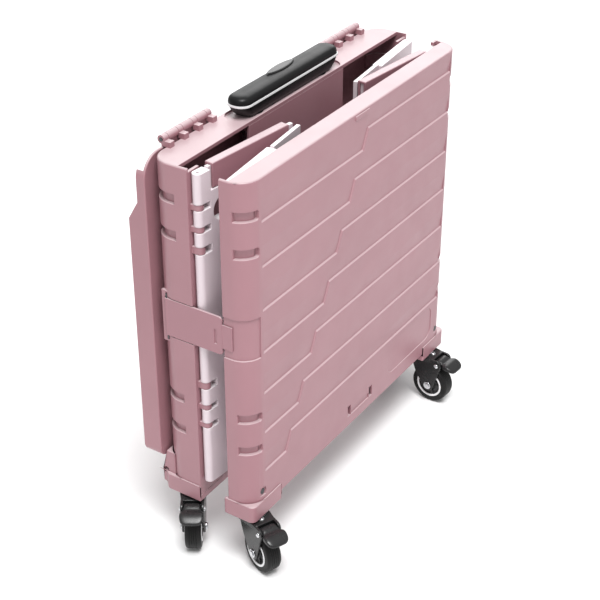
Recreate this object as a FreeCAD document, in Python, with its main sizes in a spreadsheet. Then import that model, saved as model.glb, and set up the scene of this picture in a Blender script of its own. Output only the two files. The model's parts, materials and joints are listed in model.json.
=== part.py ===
import FreeCAD, Part

import math
import os
import re

import Sketcher
from FreeCAD import Placement, Rotation, Vector

# Folding box cart: a front and a rear tray-shaped shell joined by two side walls, each wall
# made of two hinged halves that fold inwards.  Shown folded flat, with its lid hung behind
# the rear shell and its telescopic handle pushed down.
#
# Chassis coordinates, in which every sub-part is drawn: X across the cart from its middle,
# Y rearwards from the front shell's face, Z up from the underside of the shells.  Each
# sub-part's Placement then carries it to the frame of the whole: origin on the floor under
# the middle of the folded cart.

SIZES = {
    # the two shells
    "cart_width": (420, "width over both shells"),
    "shell_height": (390, "height of the shells"),
    "front_depth": (32, "depth of the front shell at its side walls"),
    "front_rim": (22.4, "depth of the front shell's top band"),
    "rear_start": (68.7, "front edge of the rear shell's side walls"),
    "rear_rim": (80.2, "front edge of the rear shell's top band"),
    "rear_back": (115, "outer back face of the rear shell"),
    "wall": (3, "moulded wall"),
    "band": (4, "height of the top band"),
    "sill": (4, "height of the bottom wall"),
    "corner_radius": (23, "vertical outer corners of the shells"),
    "edge_radius": (2, "outer top and bottom edges"),
    "flange_width": (17, "hinge flange inside each side wall"),
    "flange_depth": (3.3, "thickness of the hinge flange"),
    "depth_datum": (-50.285, "front face, from the middle of the folded cart"),
    "floor_datum": (78, "underside of the shells above the floor"),
    # folding side walls
    "pivot_side": (201, "end hinges from the middle plane"),
    "front_pivot": (25, "front end hinges behind the front face"),
    "rear_pivot": (62.5, "rear end hinges behind the front face, folded"),
    "panel_half": (5.5, "half the thickness of a side panel"),
    "panel_length": (139.75, "end hinge to the middle of the side wall"),
    "apex_offset": (4.5, "middle hinge from the panel's mid-plane"),
    "panel_bottom": (19, "lower edge of the side panels"),
    "panel_top": (385, "upper edge of the side panels"),
    "tongue_bottom": (363, "foot of the thin tongue for the lock bar"),
    "tongue_top": (387, "upper edge of the tongue"),
    "tongue_half": (2.25, "half the thickness of the tongue"),
    "knuckle_radius": (3.5, "middle hinge knuckles"),
    "pin_radius": (1.5, "hinge pins of the side walls"),
    "pin_play": (0.05, "radial running clearance of a hinge pin"),
    "gap": (0.5, "clearance beside a moving knuckle"),
    # lock bars
    "left_bar_start": (16, "left lock bar from its end hinge, unlocked"),
    "right_bar_start": (27, "right lock bar from its end hinge, unlocked"),
    "bar_length": (114, "lock bar"),
    "bar_half": (5, "half the width of a lock bar"),
    "bar_slot": (2.6, "half the width of the slot under a lock bar"),
    "bar_bottom": (364.5, "lower edge of a lock bar"),
    # lid
    "lid_face": (117.5, "front face of the hanging lid"),
    "lid_sheet": (2.5, "thickness of the lid"),
    "lid_rim": (22.5, "depth of the lid's rim"),
    "lid_rim_low": (10.5, "depth of the rim beside the hinge"),
    "lid_half": (213.5, "half the width of the lid"),
    "lid_bottom": (31, "lower edge of the hanging lid"),
    "lid_top": (389.5, "upper edge of the hanging lid"),
    "lid_axis_depth": (119.5, "lid hinge axis behind the front face"),
    "lid_axis_height": (397, "lid hinge axis above the shells' underside"),
    "lid_knuckle": (4.5, "radius of the lid knuckles"),
    "lid_pin": (2, "radius of the lid pins"),
    # floor panel
    "floor_half": (187, "half the width of the floor panel"),
    "floor_face": (6, "front face of the stowed floor panel"),
    "floor_thick": (7, "floor panel"),
    "floor_low": (15, "lower edge of the stowed floor panel"),
    "floor_high": (312, "upper edge of the stowed floor panel"),
    # telescopic handle
    "tube_side": (60, "handle tubes from the middle plane"),
    "tube_depth": (97, "handle tubes behind the front face"),
    "tube_outer": (10, "radius of the fixed outer tubes"),
    "tube_middle": (8.3, "radius of the middle tubes"),
    "tube_inner": (6.7, "radius of the inner tubes"),
    "tube_wall": (1.4, "wall of the tubes"),
    "grip_half": (92, "half the length of the grip"),
    "grip_front": (84, "front face of the grip"),
    "grip_width": (27, "width of the grip"),
    "grip_low": (388, "underside of the grip"),
    "trim_low": (402, "underside of the trim plate"),
    "trim_high": (404, "top of the trim plate"),
    "grip_high": (412, "top of the grip"),
    "button_half": (25, "half the length of the release button"),
    "button_top": (414.6, "top of the release button"),
    # feet and casters
    "foot_drop": (9, "feet below the shells' underside"),
    "foot_proud": (1.3, "feet outside the shells' faces"),
    "foot_corner": (7, "vertical outer corner of a foot"),
    "heel_rise": (40, "top of a rear foot's slanted heel"),
    "foot_rise": (12, "upper edge of the foot skirts"),
    "foot_inner": (158, "inner end of a foot from the middle plane"),
    "stem_side": (187, "caster stems from the middle plane"),
    "front_stem": (19, "front caster stems behind the front face"),
    "rear_stem": (96, "rear caster stems behind the front face"),
    "stem_radius": (5, "caster stem"),
    "wheel_radius": (25, "caster wheel"),
    "wheel_half": (9, "half the width of the tyre"),
    "hub_radius": (17.5, "hub under the tyre"),
    "axle_radius": (3, "wheel axle"),
    "axle_drop": (44, "axle below the foot"),
    "trail": (22, "axle behind the caster stem"),
    "leg_inner": (10, "fork legs from the wheel's middle plane"),
    "leg_thick": (3, "fork leg"),
    "pedal_trail": (33, "pedal hinge behind the caster stem"),
    "pedal_drop": (11, "pedal hinge below the foot"),
    "pedal_reach": (58, "tip of the pedal from the caster stem"),
    "pedal_half": (13, "half the width of the pedal tread"),
    # corner screws
    "front_screw_side": (191.25, "front screws from the middle plane"),
    "rear_screw_side": (172, "rear screws from the middle plane"),
    # belt strap
    "strap_low": (194, "lower edge of the belt strap"),
    "strap_high": (238, "upper edge of the belt strap"),
    "strap_front": (33, "front end of the belt strap's plate"),
    "strap_axis_side": (208.6, "belt strap hinge from the middle plane"),
    "strap_axis_depth": (102.2, "belt strap hinge behind the front face"),
}

EAR_HEIGHTS = ((90, 96), (113, 119), (139, 147), (298, 306), (322, 328), (346, 352))
BAR_KNUCKLES = ((40, 70), (160, 190), (280, 310))
CATCH_KNUCKLES = ((71, 101), (191, 221), (311, 341))
GROOVE_HEIGHTS = ((75, 85.5), (115, 126), (308, 319), (348, 359))
LID_EARS = ((105, 112), (128.3, 135.3), (151.7, 158.7), (175, 182))
LID_KNUCKLES = ((112.4, 127.9), (135.7, 151.3), (159.1, 174.6))
FLOOR_EARS = (-140, -20, 100)
UP = Vector(0, 0, 1)
RIGHT = Vector(1, 0, 0)
REARWARD = Vector(0, 1, 0)

doc = FreeCAD.newDocument("folding_box_cart")
sheet = doc.addObject("Spreadsheet::Sheet", "Sizes")
for row, (alias, (number, meaning)) in enumerate(SIZES.items(), start=1):
    sheet.set(f"A{row}", meaning)
    sheet.set(f"B{row}", str(number))
    sheet.setAlias(f"B{row}", alias)
doc.recompute()

nodes = {}


# ---------------------------------------------------------------- building helpers


def size(alias):
    """A driving dimension, read back from the sheet."""
    return float(sheet.get(alias))


def link(formula):
    """Turn the aliases in a formula into references to the sheet."""
    return re.sub(r"[a-z][a-z_]*", lambda word: "Sizes." + word[0] if word[0] in SIZES else word[0],
                  str(formula))


def bind(item, **formulas):
    """Bind properties of item to formulas; a double underscore stands for a dot."""
    for name, formula in formulas.items():
        item.setExpression(name.replace("__", "."), link(formula))


def finish(node, item, x="0", y="0", z="0", turn=0.0):
    """Name a sub-part and place it: (x, y, z) in chassis coordinates, turned about Z."""
    item.Label = node
    item.Placement = Placement(Vector(), Rotation(UP, turn))
    bind(item, Placement__Base__x=x, Placement__Base__y=f"depth_datum + {y}",
         Placement__Base__z=f"floor_datum + {z}")
    nodes[node] = item
    return item


def block(name, x, y, z):
    """A box between the formulas (low, high) along each axis."""
    box = doc.addObject("Part::Box", name)
    for edge, axis, (low, high) in (("Length", "x", x), ("Width", "y", y), ("Height", "z", z)):
        bind(box, **{edge: f"({high}) - ({low})", f"Placement__Base__{axis}": low})
    return box


def rod(name, radius, length, x="0", y="0", z="0", axis=UP):
    """A cylinder that starts at (x, y, z) and runs along axis."""
    cylinder = doc.addObject("Part::Cylinder", name)
    cylinder.Placement = Placement(Vector(), Rotation(UP, axis))
    bind(cylinder, Radius=radius, Height=length, Placement__Base__x=x, Placement__Base__y=y,
         Placement__Base__z=z)
    return cylinder


def slab(name, corners, depth):
    """A flat polygon extruded by the vector depth."""
    item = doc.addObject("Part::Feature", name)
    face = Part.Face(Part.makePolygon(list(corners) + [corners[0]]))
    item.Shape = face.extrude(depth)
    return item


def fuse(name, items):
    item = doc.addObject("Part::MultiFuse", name)
    item.Shapes = items
    item.Refine = True
    return item


def common(name, items):
    item = doc.addObject("Part::MultiCommon", name)
    item.Shapes = items
    return item


def cut(name, base, tools):
    item = doc.addObject("Part::Cut", name)
    item.Base = base
    item.Tool = tools[0] if len(tools) == 1 else fuse(name + "_tools", tools)
    item.Refine = True
    return item


def rounded(name, base, radius, pick):
    """Round the edges of base whose middle point and direction pick accepts."""
    doc.recompute()
    item = doc.addObject("Part::Fillet", name)
    item.Base = base
    chosen = []
    for number, edge in enumerate(base.Shape.Edges, start=1):
        middle = edge.valueAt((edge.FirstParameter + edge.LastParameter) / 2)
        tangent = edge.tangentAt((edge.FirstParameter + edge.LastParameter) / 2)
        if pick(middle, tangent):
            chosen.append((number, radius, radius))
    item.Edges = chosen
    return item


def side(sign, inner, outer):
    """The formulas (low, high) of a span given from the middle plane outwards."""
    return (inner, outer) if sign > 0 else (f"-({outer})", f"-({inner})")


def new_sketch(body, name, role="XY_Plane"):
    sketch = body.newObject("Sketcher::SketchObject", name)
    plane = next(item for item in body.Origin.OriginFeatures if item.Role == role)
    sketch.AttachmentSupport = (plane, [""])
    sketch.MapMode = "FlatFace"
    return sketch


def draw_circle(sketch, radius):
    """A circle on the sketch's origin, its radius bound to a formula."""
    index = sketch.addGeometry(Part.Circle(Vector(), UP, 1.0))
    sketch.addConstraint(Sketcher.Constraint("Coincident", index, 3, -1, 1))
    number = sketch.addConstraint(Sketcher.Constraint("Radius", index, 1.0))
    sketch.setExpression(f"Constraints[{number}]", link(radius))


def draw_outline(sketch, corners):
    """A closed outline through corners, each (value, value, formula, formula)."""
    count = len(corners)
    for index, (across, along, _, _) in enumerate(corners):
        following = corners[(index + 1) % count]
        sketch.addGeometry(Part.LineSegment(Vector(across, along, 0),
                                            Vector(following[0], following[1], 0)))
    for index, (across, along, across_formula, along_formula) in enumerate(corners):
        sketch.addConstraint(Sketcher.Constraint("Coincident", index, 2, (index + 1) % count, 1))
        for kind, number, formula in (("DistanceX", across, across_formula),
                                      ("DistanceY", along, along_formula)):
            bound = sketch.addConstraint(Sketcher.Constraint(kind, -1, 1, index, 1, number))
            sketch.setExpression(f"Constraints[{bound}]", link(formula))


def round_bar(name, radius, length, bore=None):
    """A body: a rod or tube along Z from the origin."""
    body = doc.addObject("PartDesign::Body", name)
    sketch = new_sketch(body, name + "_section")
    draw_circle(sketch, radius)
    if bore is not None:
        draw_circle(sketch, bore)
    pad = body.newObject("PartDesign::Pad", name + "_pad")
    pad.Profile = sketch
    bind(pad, Length=length)
    return body


def turned(name, corners):
    """A body: an outline in the XZ plane turned about Z."""
    body = doc.addObject("PartDesign::Body", name)
    sketch = new_sketch(body, name + "_profile", "XZ_Plane")
    draw_outline(sketch, corners)
    wheel = body.newObject("PartDesign::Revolution", name + "_turn")
    wheel.Profile = sketch
    wheel.ReferenceAxis = (sketch, ["V_Axis"])
    wheel.Angle = 360
    return body


# ---------------------------------------------------------------- shells


def upright(middle, tangent):
    return abs(tangent.z) > 0.99


def shell_prism(name, front, back, rounded_face, inset=0.0, low="0", high="shell_height"):
    """The outline of a shell, inset all round, with its two outer vertical corners rounded."""
    prism = block(name, (f"-(cart_width / 2 - {inset})", f"cart_width / 2 - {inset}"),
                  (front, back), (low, high))
    radius = size("corner_radius") - inset
    return rounded(name + "_corners", prism, radius,
                   lambda middle, tangent: upright(middle, tangent) and rounded_face(middle.y))


def corner_band(name, outer, inner, regions):
    """What lies between two outlines, inside the given boxes: a groove round a corner."""
    region = regions[0] if len(regions) == 1 else fuse(name + "_regions", regions)
    return common(name, [cut(name + "_ring", outer, [inner]), region])


def corner_grooves(shell, outline, span):
    """The deep recesses round both corners of a shell, and the thicker wall inside them."""
    recesses, pads = [], []
    for count, (bottom, top) in enumerate(GROOVE_HEIGHTS):
        for sign, hand in ((-1, "left"), (1, "right")):
            name = f"{shell}_groove_{count}_{hand}"
            recess = block(name, side(sign, "190", "212"), span, (bottom, top))
            recesses.append(rounded(f"{name}_end", recess, 3.0, lambda middle, tangent:
                                    abs(tangent.y) > 0.99 and abs(middle.x) < 200))
            pads.append(block(f"{name}_pad", side(sign, "189", "cart_width / 2 - 1"), span,
                              (bottom - 2, top + 2)))
    cut_away = corner_band(f"{shell}_grooves", outline("outside", -1), outline("floor", 4), recesses)
    thickening = corner_band(f"{shell}_pads", outline("wall", 2), outline("inside", 6), pads)
    return cut_away, thickening


def ears(name, pivot, flange, sign):
    """The shell's hinge ears round one pivot line, joined to the flange behind them."""
    items = []
    low, high = (pivot, flange) if flange == "rear_start + 1" else (flange, pivot)
    for count, (bottom, top) in enumerate(EAR_HEIGHTS):
        middle = f"{sign} * pivot_side"
        items.append(block(f"{name}_arm_{count}", (f"{middle} - 5", f"{middle} + 5"),
                           (low, high), (bottom, top)))
        items.append(rod(f"{name}_eye_{count}", "5", top - bottom, x=middle, y=pivot, z=bottom))
    return items


def rib_cutters():
    """Seven shallow steps across the front face, each jogging upwards near the middle."""
    pitch, shift, jog, run = 49.4, 24.5, 21.9, 10.1
    taper, depth = 24.0, 1.8
    cutters = []
    for count in range(7):
        line = 343.4 - pitch * count
        left_end, jog_start = -186.0, 0.8 - shift * count
        path = ((left_end, line), (jog_start, line), (jog_start + run, line + jog),
                (190.0, line + jog))
        sections = []
        for across, height in path:
            sections.append(Part.makePolygon([
                Vector(across, -1, height - 1), Vector(across, 0, height - 1),
                Vector(across, depth, height + 0.6), Vector(across, 0, height + taper),
                Vector(across, -1, height + taper), Vector(across, -1, height - 1)]))
        cutters.append(Part.makeLoft(sections, True, True))
    item = doc.addObject("Part::Feature", "rib_steps")
    item.Shape = Part.makeCompound(cutters)
    return item


def make_front_shell():
    at_front = lambda depth: depth < 1
    outer = shell_prism("front_block", "0", "front_depth", at_front)
    rim = lambda middle, tangent: abs(tangent.z) < 0.01 and middle.y < size("front_depth") - 0.1
    outer = rounded("front_edges", outer, size("edge_radius"), rim)
    hollow = block("front_hollow", ("-(cart_width / 2 - wall)", "cart_width / 2 - wall"),
                   ("wall", "front_depth + 1"), ("sill", "shell_height - band"))
    hollow = rounded("front_hollow_corners", hollow, size("corner_radius") - size("wall"),
                     lambda middle, tangent: upright(middle, tangent) and middle.y < 4)
    mouth = block("front_mouth", ("-(cart_width / 2 - wall)", "cart_width / 2 - wall"),
                  ("front_rim", "front_depth + 1"), ("-1", "shell_height + 1"))
    tray = cut("front_tray", outer, [hollow, mouth])
    added = [tray]
    flange_face = "front_pivot - panel_half - 0.7"
    for sign, hand in ((-1, "left"), (1, "right")):
        added.append(block(f"front_flange_{hand}",
                           side(sign, "cart_width / 2 - wall - flange_width", "cart_width / 2 - wall"),
                           (f"{flange_face} - flange_depth", flange_face),
                           ("foot_rise + 2", "shell_height - band")))
        added += ears(f"front_ear_{hand}", "front_pivot", f"{flange_face} - 1", sign)
    added.append(block("front_hook", ("200", "cart_width / 2 - 1"), ("front_depth - 3.4", "front_depth"),
                       ("panel_top + 1", "shell_height")))
    added.append(block("front_tab", ("-17", "17"), ("-1", "5"), ("shell_height - 7", "shell_height - 2.4")))
    for count, start in enumerate(FLOOR_EARS):
        added.append(block(f"floor_ear_{count}", (start, start + 8), ("wall - 1", "floor_face + 6.5"),
                           ("sill", "floor_low + 6.5")))
    grooves, pads = corner_grooves("front", lambda label, inset: shell_prism(
        f"front_groove_{label}", inset, "60", lambda depth: depth < 10, inset), ("-2", "18"))
    body = fuse("front_body", added + [pads])

    removed = [rib_cutters(), grooves]
    for sign, hand in ((-1, "left"), (1, "right")):
        removed.append(rod(f"front_bore_{hand}", "pin_radius", "280", x=f"{sign} * pivot_side",
                           y="front_pivot", z="84"))
        removed.append(rod(f"front_stem_hole_{hand}", "stem_radius + 4", "sill + 2",
                           x=f"{sign} * stem_side", y="front_stem", z="-1"))
        removed.append(block(f"front_screw_seat_{hand}", side(sign, "186.5", "196"), ("-1", "1.6"),
                             ("17", "27")))
    removed.append(rod("floor_bore", "2", "400", x="-200", y="floor_face + floor_thick / 2",
                       z="floor_low + 3.5", axis=RIGHT))
    removed.append(block("floor_notch_front", ("-150", "150"), ("floor_face - 0.5", "14"),
                         ("floor_low + 8", "40")))
    # central catch at the foot of the front face
    removed.append(block("catch_left", ("-17", "-13"), ("-1", "wall + 1"), ("14", "28")))
    removed.append(block("catch_right", ("28", "32"), ("-1", "wall + 1"), ("14", "28")))
    removed.append(block("catch_recess", ("-12", "27"), ("-1", "1.4"), ("14", "21")))
    # blank badge panel
    badge = block("badge", ("69", "176"), ("-1", "0.8"), ("20", "65"))
    removed.append(rounded("badge_ends", badge, 14.0, lambda middle, tangent: abs(tangent.y) > 0.99))
    # pocket for the belt strap
    pocket_outer = shell_prism("pocket_outer", "-1", "60", lambda depth: depth < 1, -1.0)
    pocket_inner = shell_prism("pocket_inner", "1.6", "61", lambda depth: depth < 3, 1.6)
    region = block("pocket_region", ("-212", "-190"), ("-2", "front_depth + 1"),
                   ("strap_low - 2", "strap_high + 2"))
    removed.append(corner_band("strap_pocket", pocket_outer, pocket_inner, [region]))
    finish("front_shell", cut("front_shell", body, removed))


def make_rear_shell():
    outer = shell_prism("rear_block", "rear_start", "rear_back",
                        lambda depth: depth > size("rear_back") - 1)
    rim = lambda middle, tangent: abs(tangent.z) < 0.01 and middle.y > size("rear_start") + 0.1
    outer = rounded("rear_edges", outer, size("edge_radius"), rim)
    hollow = block("rear_hollow", ("-(cart_width / 2 - wall)", "cart_width / 2 - wall"),
                   ("rear_start - 1", "rear_back - wall"), ("sill", "shell_height - band"))
    hollow = rounded("rear_hollow_corners", hollow, size("corner_radius") - size("wall"),
                     lambda middle, tangent: upright(middle, tangent) and middle.y > 100)
    mouth = block("rear_mouth", ("-(cart_width / 2 - wall)", "cart_width / 2 - wall"),
                  ("rear_start - 1", "rear_rim"), ("shell_height - band - 1", "shell_height + 1"))
    added = [cut("rear_tray", outer, [hollow, mouth])]
    added.append(block("rear_lip", ("-(cart_width / 2 - wall)", "cart_width / 2 - wall"),
                       ("rear_start", "rear_start + wall"), ("sill - 1", "panel_bottom")))
    for sign, hand in ((-1, "left"), (1, "right")):
        added.append(block(f"rear_flange_{hand}",
                           side(sign, "cart_width / 2 - wall - flange_width", "cart_width / 2 - wall"),
                           ("rear_start", "rear_start + flange_depth"),
                           ("sill", "shell_height - band")))
        added += ears(f"rear_ear_{hand}", "rear_pivot", "rear_start + 1", sign)
        for count, (inner, outer_end) in enumerate(LID_EARS):
            across = side(sign, inner, outer_end)
            added.append(block(f"lid_ear_{hand}_{count}", across, ("lid_axis_depth - 11", "lid_axis_depth"),
                               ("shell_height", "lid_axis_height - 0.8")))
            added.append(rod(f"lid_eye_{hand}_{count}", "lid_knuckle", outer_end - inner, x=across[0],
                             y="lid_axis_depth", z="lid_axis_height", axis=RIGHT))
    added.append(block("strap_backing", ("-(cart_width / 2 - wall / 2)", "-(cart_width / 2 - wall - 2)"),
                       ("rear_start + 3", "strap_axis_depth + 6"), ("strap_low - 8", "strap_high + 8")))
    for sign, hand in ((-1, "left"), (1, "right")):
        added.append(rod(f"tube_foot_{hand}", "tube_outer + 3", "10", x=f"{sign} * tube_side",
                         y="tube_depth", z="sill - 1"))
    grooves, pads = corner_grooves("rear", lambda label, inset: shell_prism(
        f"rear_groove_{label}", "40", f"rear_back - ({inset})", lambda depth: depth > 100, inset),
        ("85", "rear_back + 2"))
    body = fuse("rear_body", added + [pads])

    removed = [grooves]
    for sign, hand in ((-1, "left"), (1, "right")):
        removed.append(rod(f"rear_bore_{hand}", "pin_radius", "280", x=f"{sign} * pivot_side",
                           y="rear_pivot", z="84"))
        removed.append(rod(f"rear_stem_hole_{hand}", "stem_radius + 4", "sill + 2",
                           x=f"{sign} * stem_side", y="rear_stem", z="-1"))
        removed.append(rod(f"collar_hole_{hand}", "tube_outer + 1", "band + 2",
                           x=f"{sign} * tube_side", y="tube_depth", z="shell_height - band - 1"))
        removed.append(rod(f"tube_seat_{hand}", "tube_outer", "20", x=f"{sign} * tube_side",
                           y="tube_depth", z="sill + 2"))
        removed.append(rod(f"rear_screw_seat_{hand}", "5.5", "2", x=f"{sign} * rear_screw_side",
                           y="rear_back - 1.5", z="22", axis=REARWARD))
    removed.append(rod("lid_bore", "lid_pin", "400", x="-200", y="lid_axis_depth",
                       z="lid_axis_height", axis=RIGHT))
    recess = block("grip_recess", ("-(grip_half + 4)", "grip_half + 4"),
                   ("grip_front - 2", "grip_front + grip_width + 2"), ("grip_low - 0.4", "shell_height + 1"))
    removed.append(rounded("grip_recess_ends", recess, 14.0, upright))
    removed.append(block("strap_recess", ("-(cart_width / 2 + 1)", "-(strap_axis_side - 2.1)"),
                         ("rear_start - 1", "strap_axis_depth + 2.3"), ("strap_low - 1", "strap_high + 1")))
    removed.append(rod("strap_bore", "0.9", "strap_high - strap_low + 12", x="-strap_axis_side",
                       y="strap_axis_depth", z="strap_low - 6"))
    finish("rear_shell", cut("rear_shell", body, removed))


def make_handle_bay_cover():
    plate = block("cover_plate", ("-90", "90"), ("rear_rim", "rear_rim + wall"),
                  ("sill + 6", "shell_height - band"))
    ribs = [block(f"cover_rib_{count}", (across, across + 2), ("rear_rim + wall - 1", "rear_rim + wall + 3"),
                  ("sill + 20", "shell_height - band - 20")) for count, across in enumerate((-88, 86))]
    finish("handle_bay_cover", fuse("handle_bay_cover", [plate] + ribs))


# ---------------------------------------------------------------- folding side walls


def panel_board(name, outer_sign, knuckles, gaps, tongue_start):
    """One half of a side wall: X from its end hinge to the middle hinge, outer face on one side."""
    board = block(f"{name}_board", ("0", "panel_length - 0.15"), ("-panel_half", "panel_half"),
                  ("panel_bottom", "panel_top"))
    end = rod(f"{name}_end", "panel_half", "panel_top - panel_bottom", z="panel_bottom")
    tongue = block(f"{name}_tongue", (tongue_start, "panel_length - 0.15"),
                   ("-tongue_half", "tongue_half"), ("tongue_bottom - 1", "tongue_top"))
    shoulder = [block(f"{name}_shoulder_{hand}", (tongue_start, "panel_length + 1"),
                      (low, high), ("tongue_bottom", "panel_top + 1"))
                for hand, low, high in (("near", "-panel_half - 1", "-tongue_half"),
                                        ("far", "tongue_half", "panel_half + 1"))]
    relief_face = f"{outer_sign} * (apex_offset - 0.3)"
    relief_edge = f"{outer_sign} * (panel_half + 1)"
    relief = block(f"{name}_relief", ("panel_length - 14", "panel_length + 1"),
                   (relief_face, relief_edge) if outer_sign > 0 else (relief_edge, relief_face),
                   ("panel_bottom - 1", "panel_top + 1"))
    body = fuse(f"{name}_full", [board, end])
    body = cut(f"{name}_thinned", body, shoulder + [relief])
    added = [body, tongue]
    for count, (bottom, top) in enumerate(knuckles):
        added.append(rod(f"{name}_knuckle_{count}", "knuckle_radius", top - bottom, x="panel_length",
                         y=f"{outer_sign} * apex_offset", z=bottom))
    body = fuse(f"{name}_hinged", added)

    removed = []
    for count, (bottom, top) in enumerate(EAR_HEIGHTS):
        removed.append(block(f"{name}_ear_notch_{count}", ("-7", "11"), ("-7", "7"),
                             (f"{bottom} - gap", f"{top} + gap")))
    for count, (bottom, top) in enumerate(gaps):
        removed.append(block(f"{name}_gap_{count}", ("panel_length - 4.2", "panel_length + 5"),
                             ("-9", "9"), (f"{bottom} - gap", f"{top} + gap")))
    for count in range(4):
        low = 66 + 60 * count
        removed.append(block(f"{name}_groove_{count}", ("20", "panel_length - 20"),
                             (f"-{outer_sign} * panel_half - 0.6", f"-{outer_sign} * panel_half + 0.6"),
                             (low, low + 3)))
    hold = block(f"{name}_hold", ("15", "95"), ("-9", "9"), ("326", "352"))
    removed.append(rounded(f"{name}_hold_ends", hold, 12.9,
                           lambda middle, tangent: abs(tangent.y) > 0.99))
    return body, removed


def make_panels():
    slope = math.degrees(math.asin((size("rear_pivot") - size("front_pivot")) / 2
                                   / math.hypot(size("panel_length"), size("apex_offset"))))
    slope -= math.degrees(math.atan2(size("apex_offset"), size("panel_length")))
    designs = {
        "left_rear": (-1, BAR_KNUCKLES, CATCH_KNUCKLES, "12", "rear_pivot", -slope, "pin_play", "0"),
        "right_front": (-1, BAR_KNUCKLES, CATCH_KNUCKLES, "12", "front_pivot", 180 - slope,
                        "pin_play + 0.25", "0"),
        "left_front": (1, CATCH_KNUCKLES, BAR_KNUCKLES, "83", "front_pivot", slope, "pin_play",
                       "pin_play"),
        "right_rear": (1, CATCH_KNUCKLES, BAR_KNUCKLES, "83", "rear_pivot", 180 + slope, "pin_play",
                       "pin_play"),
    }
    for name, design in designs.items():
        outer_sign, knuckles, gaps, tongue_start, pivot, turn, end_play, middle_play = design
        body, removed = panel_board(name, outer_sign, knuckles, gaps, tongue_start)
        removed.append(rod(f"{name}_end_bore", f"pin_radius + {end_play}", "400", z="0"))
        removed.append(rod(f"{name}_middle_bore", f"pin_radius + {middle_play}", "400",
                           x="panel_length", y=f"{outer_sign} * apex_offset", z="0"))
        hinge = "-pivot_side" if name.startswith("left") else "pivot_side"
        finish(f"{name}_panel", cut(f"{name}_panel", body, removed), x=hinge, y=pivot, turn=turn)
        if outer_sign < 0:
            make_lock_bar(name.split("_")[0], hinge, pivot, turn)
            middle = Rotation(UP, turn).multVec(Vector(size("panel_length"), -size("apex_offset"), 0))
            hand = name.split("_")[0]
            finish(f"{hand}_middle_pin", round_bar(f"{hand}_middle_pin", "pin_radius", "305"),
                   x=f"{hinge} + {middle.x}", y=f"{pivot} + {middle.y}", z="38")
    for hand, hinge in (("left", "-pivot_side"), ("right", "pivot_side")):
        for end in ("front", "rear"):
            node = f"{hand}_{end}_pin"
            finish(node, round_bar(node, "pin_radius", "270"), x=hinge, y=f"{end}_pivot", z="86")


def make_lock_bar(hand, hinge, pivot, turn):
    """An upside-down channel that slides along the tongue."""
    start = f"{hand}_bar_start"
    bar = block(f"{hand}_bar_block", (start, f"{start} + bar_length"), ("-bar_half", "bar_half"),
                ("bar_bottom", "shell_height"))
    bar = rounded(f"{hand}_bar_edges", bar, 1.2,
                  lambda middle, tangent: middle.z > size("shell_height") - 0.1)
    slot = block(f"{hand}_bar_slot", (f"{start} - 1", f"{start} + bar_length + 1"),
                 ("-bar_slot", "bar_slot"), ("bar_bottom - 1", "tongue_top + 0.4"))
    finish(f"{hand}_lock_bar", cut(f"{hand}_lock_bar", bar, [slot]), x=hinge, y=pivot, turn=turn)


# ---------------------------------------------------------------- lid


def make_lid():
    flat = lambda middle, tangent: abs(tangent.y) > 0.99
    outer = block("lid_block", ("-lid_half", "lid_half"), ("lid_face", "lid_face + lid_rim"),
                  ("lid_bottom", "lid_top"))
    outer = rounded("lid_low_corners", outer, 12.0,
                    lambda middle, tangent: flat(middle, tangent) and middle.z < 100)
    outer = rounded("lid_high_corners", outer, 25.0,
                    lambda middle, tangent: flat(middle, tangent) and middle.z > 300)
    outer = rounded("lid_edges", outer, 1.5,
                    lambda middle, tangent: middle.y < size("lid_face") + 0.01 and middle.z < 389)
    inner = block("lid_inside", ("-(lid_half - lid_sheet)", "lid_half - lid_sheet"),
                  ("lid_face + lid_sheet", "lid_face + lid_rim + 1"),
                  ("lid_bottom + lid_sheet", "lid_top + 9"))
    inner = rounded("lid_inside_corners", inner, 9.5,
                    lambda middle, tangent: flat(middle, tangent) and middle.z < 100)
    face, rim, low = size("lid_face"), size("lid_rim"), size("lid_rim_low")
    half, top = size("lid_half") + 1, size("lid_top") + 10
    relief = slab("lid_rim_relief", [Vector(-half, face + low, top), Vector(-half, face + low, 340),
                                     Vector(-half, face + rim + 1, 318), Vector(-half, face + rim + 1, top)],
                  Vector(2 * half, 0, 0))
    notch = block("lid_handle_notch", ("-97", "97"), ("lid_face - 1", "lid_face + lid_rim + 1"),
                  ("lid_axis_height - 41", "lid_axis_height"))
    notch = rounded("lid_handle_notch_corners", notch, 10.0,
                    lambda middle, tangent: flat(middle, tangent) and middle.z < 380)
    added = [cut("lid_tray", outer, [inner, relief, notch])]
    for sign, hand in ((-1, "left"), (1, "right")):
        for count, (near, far) in enumerate(LID_KNUCKLES):
            across = side(sign, near, far)
            added.append(rod(f"lid_knuckle_{hand}_{count}", "lid_knuckle", far - near, x=across[0],
                             y="lid_axis_depth", z="lid_axis_height", axis=RIGHT))
            added.append(block(f"lid_arm_{hand}_{count}", across, ("lid_face", "lid_face + lid_sheet + 2"),
                               ("lid_top - 6", "lid_axis_height")))
    removed = [rod("lid_knuckle_bore", "lid_pin + pin_play", "400", x="-200", y="lid_axis_depth",
                   z="lid_axis_height", axis=RIGHT)]
    for count in range(6):
        removed.append(block(f"lid_groove_{count}", ("-190", "190"), ("lid_face - 1", "lid_face + 0.9"),
                             (56 + 49.4 * count, 58.4 + 49.4 * count)))
    finish("lid_panel", cut("lid_panel", fuse("lid_body", added), removed))
    pins = [rod(f"lid_pin_{hand}", "lid_pin", "78", x=start, y="lid_axis_depth", z="lid_axis_height",
                axis=RIGHT) for hand, start in (("left", "-182.5"), ("right", "104.5"))]
    finish("lid_pins", fuse("lid_pins", pins))


# ---------------------------------------------------------------- floor panel


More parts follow.
